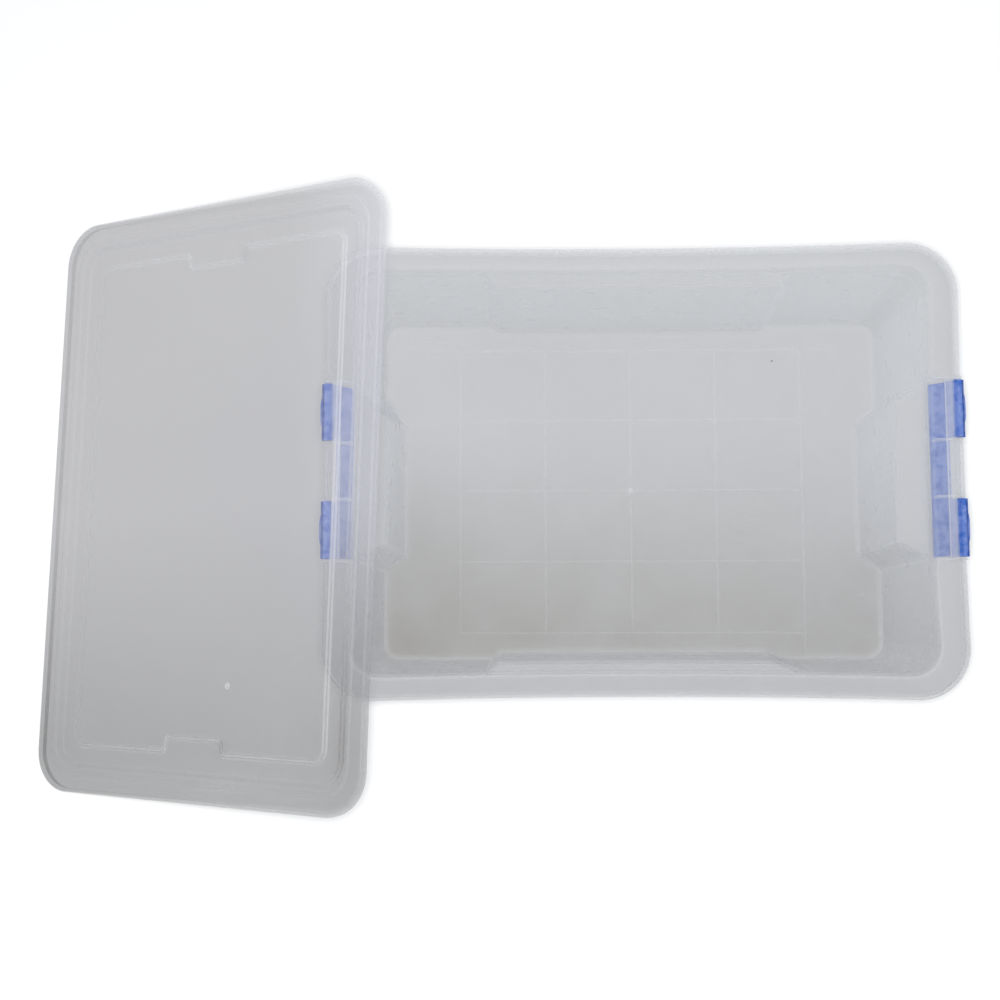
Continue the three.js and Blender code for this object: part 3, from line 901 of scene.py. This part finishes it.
def soft_light(name, place, aim, size, power, lit, blockers):
    """A square lamp that lights the pieces in lit, shaded by blockers alone."""
    data = bpy.data.lights.new(name, "AREA")
    data.shape = "SQUARE"
    data.size = size
    data.energy = power
    light = bpy.data.objects.new(name, data)
    light.location = place
    light.rotation_euler = (Vector(aim) - Vector(place)).to_track_quat("-Z", "Y").to_euler()
    light.light_linking.receiver_collection = lit
    light.light_linking.blocker_collection = blockers
    bpy.context.scene.collection.objects.link(light)


def floor_lamp(place, radius, power, lit):
    """A round lamp for the floor that doesn't weaken with distance.

    The floor is still darker far out, where the light strikes it at a low angle.
    """
    data = bpy.data.lights.new("floor_lamp", "POINT")
    data.energy = power
    data.shadow_soft_size = radius
    data.use_nodes = True
    tree = data.node_tree
    glow = tree.nodes["Emission"]
    even = tree.nodes.new("ShaderNodeLightFalloff")
    even.inputs["Strength"].default_value = 1
    tree.links.new(even.outputs["Constant"], glow.inputs["Strength"])
    light = bpy.data.objects.new("floor_lamp", data)
    light.location = place
    light.light_linking.receiver_collection = lit
    bpy.context.scene.collection.objects.link(light)


def make_sky():
    """A plain sky that is paler to look at than it is strong as a light."""
    world = bpy.data.worlds.new("studio")
    world.use_nodes = True
    tree = world.node_tree
    sky = tree.nodes["Background"]
    sky.inputs["Color"].default_value = SKY_TINT
    seen = tree.nodes.new("ShaderNodeLightPath").outputs["Is Camera Ray"]
    strength = tree.nodes.new("ShaderNodeMapRange")
    tree.links.new(seen, strength.inputs["Value"])
    strength.inputs["To Min"].default_value = SKY
    strength.inputs["To Max"].default_value = SKY_SEEN
    tree.links.new(strength.outputs["Result"], sky.inputs["Strength"])
    bpy.context.scene.world = world


def make_lights(ground, pieces, opaque):
    """Soft boxes for the object, and for the floor a lamp beside the camera.

    From the camera that lamp's shadow is hidden behind the object, and shows through the plastic.
    """
    box = gathered("box_lit", pieces)
    shading = gathered("box_shading", opaque)
    make_sky()
    floor_lit = gathered("floor_lit", [ground])
    floor_lamp(CAMERA_AT + FLOOR_LAMP_LIFT, FLOOR_LAMP_RADIUS, FLOOR_LAMP, floor_lit)
    soft_light("overhead", OVERHEAD_AT, OVERHEAD_AIM, OVERHEAD_SIZE, OVERHEAD, box, shading)
    soft_light("side", SIDE_AT, SIDE_AIM, SIDE_SIZE, SIDE, box, shading)


def dress(obj, material, slot, body, *nodes):
    """Gives a piece its material, and says what it rides on and which CAD nodes it stands for. slot is not
    used.
    """
    pieces.append(obj)
    obj.data.materials.clear()
    obj.data.materials.append(material)
    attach(obj, body)
    if nodes:
        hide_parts(*nodes)


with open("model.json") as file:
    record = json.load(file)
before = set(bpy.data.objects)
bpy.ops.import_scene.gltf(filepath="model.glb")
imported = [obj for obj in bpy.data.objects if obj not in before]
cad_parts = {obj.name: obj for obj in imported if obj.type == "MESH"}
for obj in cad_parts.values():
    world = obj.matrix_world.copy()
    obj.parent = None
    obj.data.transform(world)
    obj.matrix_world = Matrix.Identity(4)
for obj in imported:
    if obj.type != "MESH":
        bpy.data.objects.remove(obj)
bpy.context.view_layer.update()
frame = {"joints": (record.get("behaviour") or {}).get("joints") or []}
scene = bpy.context.scene
scene.view_settings.view_transform = "Standard"
scene.cycles.transparent_max_bounces = 24
scene.cycles.max_bounces = 5
scene.cycles.diffuse_bounces = 2
scene.cycles.glossy_bounces = 2

tub_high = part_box("tub")[1]
rim_height = tub_high.z / MM
rim_half_wide = tub_high.y / MM
rim_half_long = TAB_OUT - TAB_PROUD
pivots = {joint["child"]: Vector(joint["pos_m"]) for joint in frame["joints"] if "pos_m" in joint}

tub_plastic = clear_plastic(
    "tub_plastic", haze=0.19, wall_haze=0.26, milk=(0.73, 0.74, 0.77), deep=(0.95, 0.97, 1.0),
    # The fade makes the tub darker and more clouded towards the front: painted shade against the brighter lit
    # floor seen through it there
    edge_cover=0.09, side_cover=0.16, painted_light_fades=[(1, 0.02, -0.14, 0.05, (0.54, 0.545, 0.57))],
    stains=0.7, side_below=0.111)
lid_plastic = clear_plastic(
    "lid_plastic", haze=0.14, wall_haze=0.17, milk=(0.67, 0.65, 0.67), deep=(0.78, 0.78, 0.82),
    # The first fade makes the lid paler and more clouded over its right edge by the tub, painted light
    # against the darker floor seen through it there; the second makes it darker towards the front, painted
    # shade against the brighter lit floor there
    edge_cover=0.26, side_cover=0.05, painted_light_fades=[(0, -0.225, -0.165, 0.07, (0.93, 0.93, 1.0)),
                                             (1, -0.02, -0.17, 0.05, (0.30, 0.295, 0.29))], turn=90)
rib_plastic = clear_plastic(
    "rib_plastic", haze=0.10, wall_haze=0.10, milk=(0.95, 0.96, 0.98), deep=(0.95, 0.96, 0.98),
    edge_cover=0.06, side_cover=0.02, shade=1.0)
trim_plastic = clear_plastic(
    "trim_plastic", haze=0.22, wall_haze=0.22, milk=(0.86, 0.87, 0.90), deep=(0.88, 0.89, 0.93),
    edge_cover=0.15, side_cover=0.04, shade=1.0)
latch_plastic = blue_plastic("latch_plastic")

pieces, opaque = [], []
tub = skin("tub_shell", *tub_rings((rim_half_long, rim_half_wide), rim_height))
dress(tub, tub_plastic, "clear_plastic", "tub", "tub")
dress(make_floor_grid(), rib_plastic, "clear_plastic", "tub")

lid = skin("lid_shell", *lid_rings())
leaning = lid_place(lid)
dress(moved(lid, leaning), lid_plastic, "clear_plastic", "lid", "lid")
dress(moved(make_gate_mark(), leaning), trim_plastic, "clear_plastic", "lid")

for node, side in (("latch_right", 1), ("latch_left", -1)):
    seat = make_seat_details("tub_seat_" + node.split("_")[1], pivots["latch_right"], rim_height)
    dress(moved(seat, end_turn(side)), trim_plastic, "clear_plastic", "tub")
    latch = moved(make_latch(node + "_moulding"), latch_place(pivots[node], side))
    dress(latch, latch_plastic, "blue_plastic", node, node)
    opaque.append(latch)

make_camera()
make_lights(make_ground(), pieces, opaque)
